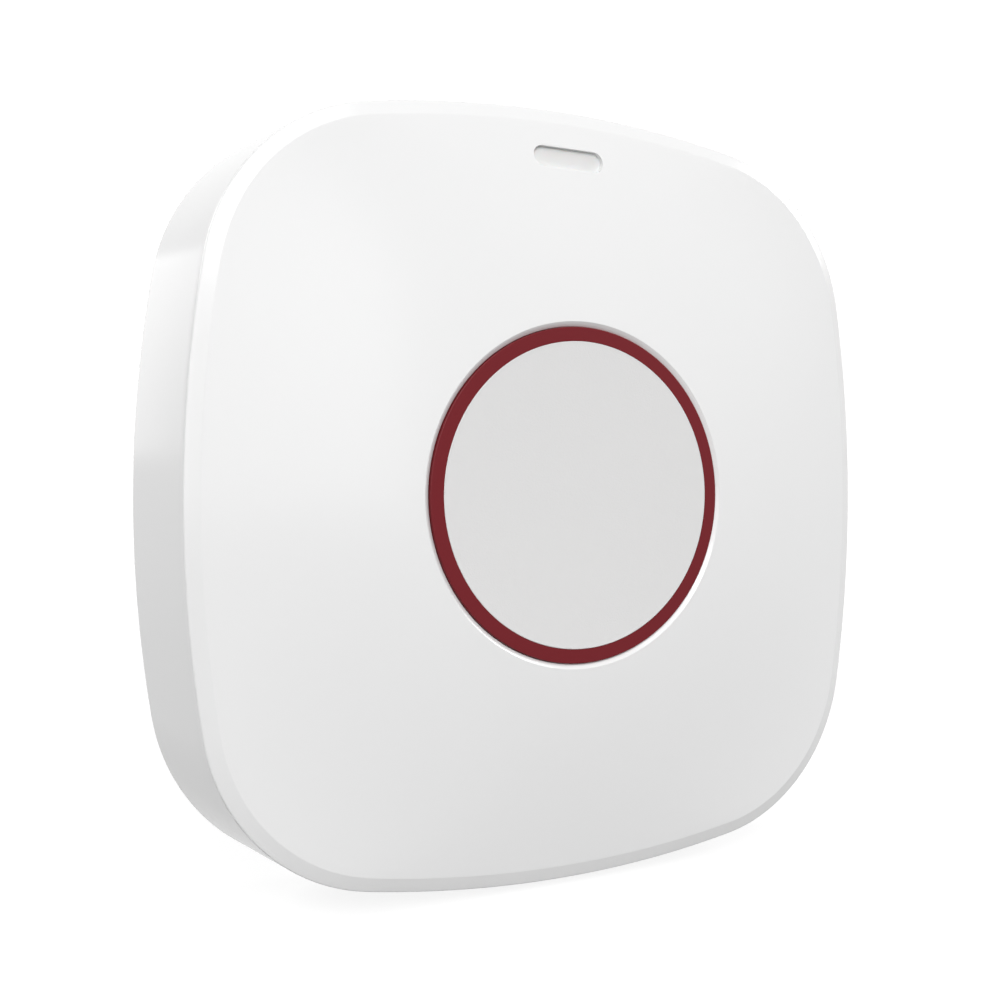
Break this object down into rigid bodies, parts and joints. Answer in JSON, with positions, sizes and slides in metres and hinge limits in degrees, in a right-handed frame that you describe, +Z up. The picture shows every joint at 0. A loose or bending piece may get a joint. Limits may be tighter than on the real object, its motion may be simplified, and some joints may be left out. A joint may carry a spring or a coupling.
{
  "type": "wireless panic button",
  "caption": "Wall mounted wireless alarm button: soft square white housing with a pillowed face, a round red ringed push button with a grey cap, and a status window above it.",
  "frame": {"origin": "middle of the wall plate's back face, on the button's axis", "axes": "+Z up, +Y into the wall, the button's face looks along -Y"},
  "size_m": [0.07, 0.0178, 0.07],
  "materials": {
    "white_shell": "fine satin moulded white plastic",
    "white_back": "plain moulded white plastic",
    "red_plastic": "satin dark red moulded plastic",
    "grey_cap": "fine matt light grey plastic",
    "clear_lens": "milky light guide",
    "lamp": "clear lamp body",
    "board": "green solder resist on glass fibre",
    "black_plastic": "black moulded plastic",
    "tinned": "tinned metal",
    "stainless": "stainless steel",
    "spring_steel": "drawn spring steel",
    "nickel": "bright nickel plate",
    "copper_wire": "bare copper wire",
    "white_pin": "white slippery plastic",
    "screw_zinc": "zinc plated steel"
  },
  "bodies": {
    "housing": {"front_cover": "white_shell", "status_lens": "clear_lens", "status_led": "lamp", "circuit_board": "board", "switch_base": "black_plastic", "switch_legs": "tinned", "switch_plate": "stainless", "control_chip": "black_plastic", "radio_shield": "tinned", "crystal_can": "nickel", "reserve_capacitor": "stainless", "antenna_wire": "copper_wire", "tamper_switch": "black_plastic", "tamper_spring": "spring_steel", "coin_cell": "nickel", "contact_negative": "spring_steel", "contact_positive": "spring_steel", "rear_cover": "white_back", "cover_screws": "screw_zinc", "wall_plate": "white_back", "locking_screw": "stainless", "return_spring_1": "spring_steel", "return_spring_2": "spring_steel", "return_spring_3": "spring_steel"},
    "button": {"button_body": "red_plastic", "button_cap": "grey_cap"},
    "switch_stem": {"switch_stem": "black_plastic"},
    "tamper": {"tamper_plunger": "white_pin"}
  },
  "joints": [
    {"name": "button_press", "type": "slide", "parent": "housing", "child": "button", "axis": [0, 1, 0], "range_m": [0, 0.0005], "stiffness_N_per_m": 600, "springref_m": -0.004, "deforming": ["return_spring_1", "return_spring_2", "return_spring_3"]},
    {"name": "switch_stem_press", "type": "slide", "parent": "housing", "child": "switch_stem", "axis": [0, 1, 0], "range_m": [0, 0.0005]},
    {"name": "tamper_press", "type": "slide", "parent": "housing", "child": "tamper", "axis": [0, -1, 0], "range_m": [0, 0.0012], "stiffness_N_per_m": 200, "springref_m": -0.004, "deforming": ["tamper_spring"]}
  ],
  "couplings": [
    {"joint": "switch_stem_press", "follows": "button_press", "ratio": 1}
  ]
}
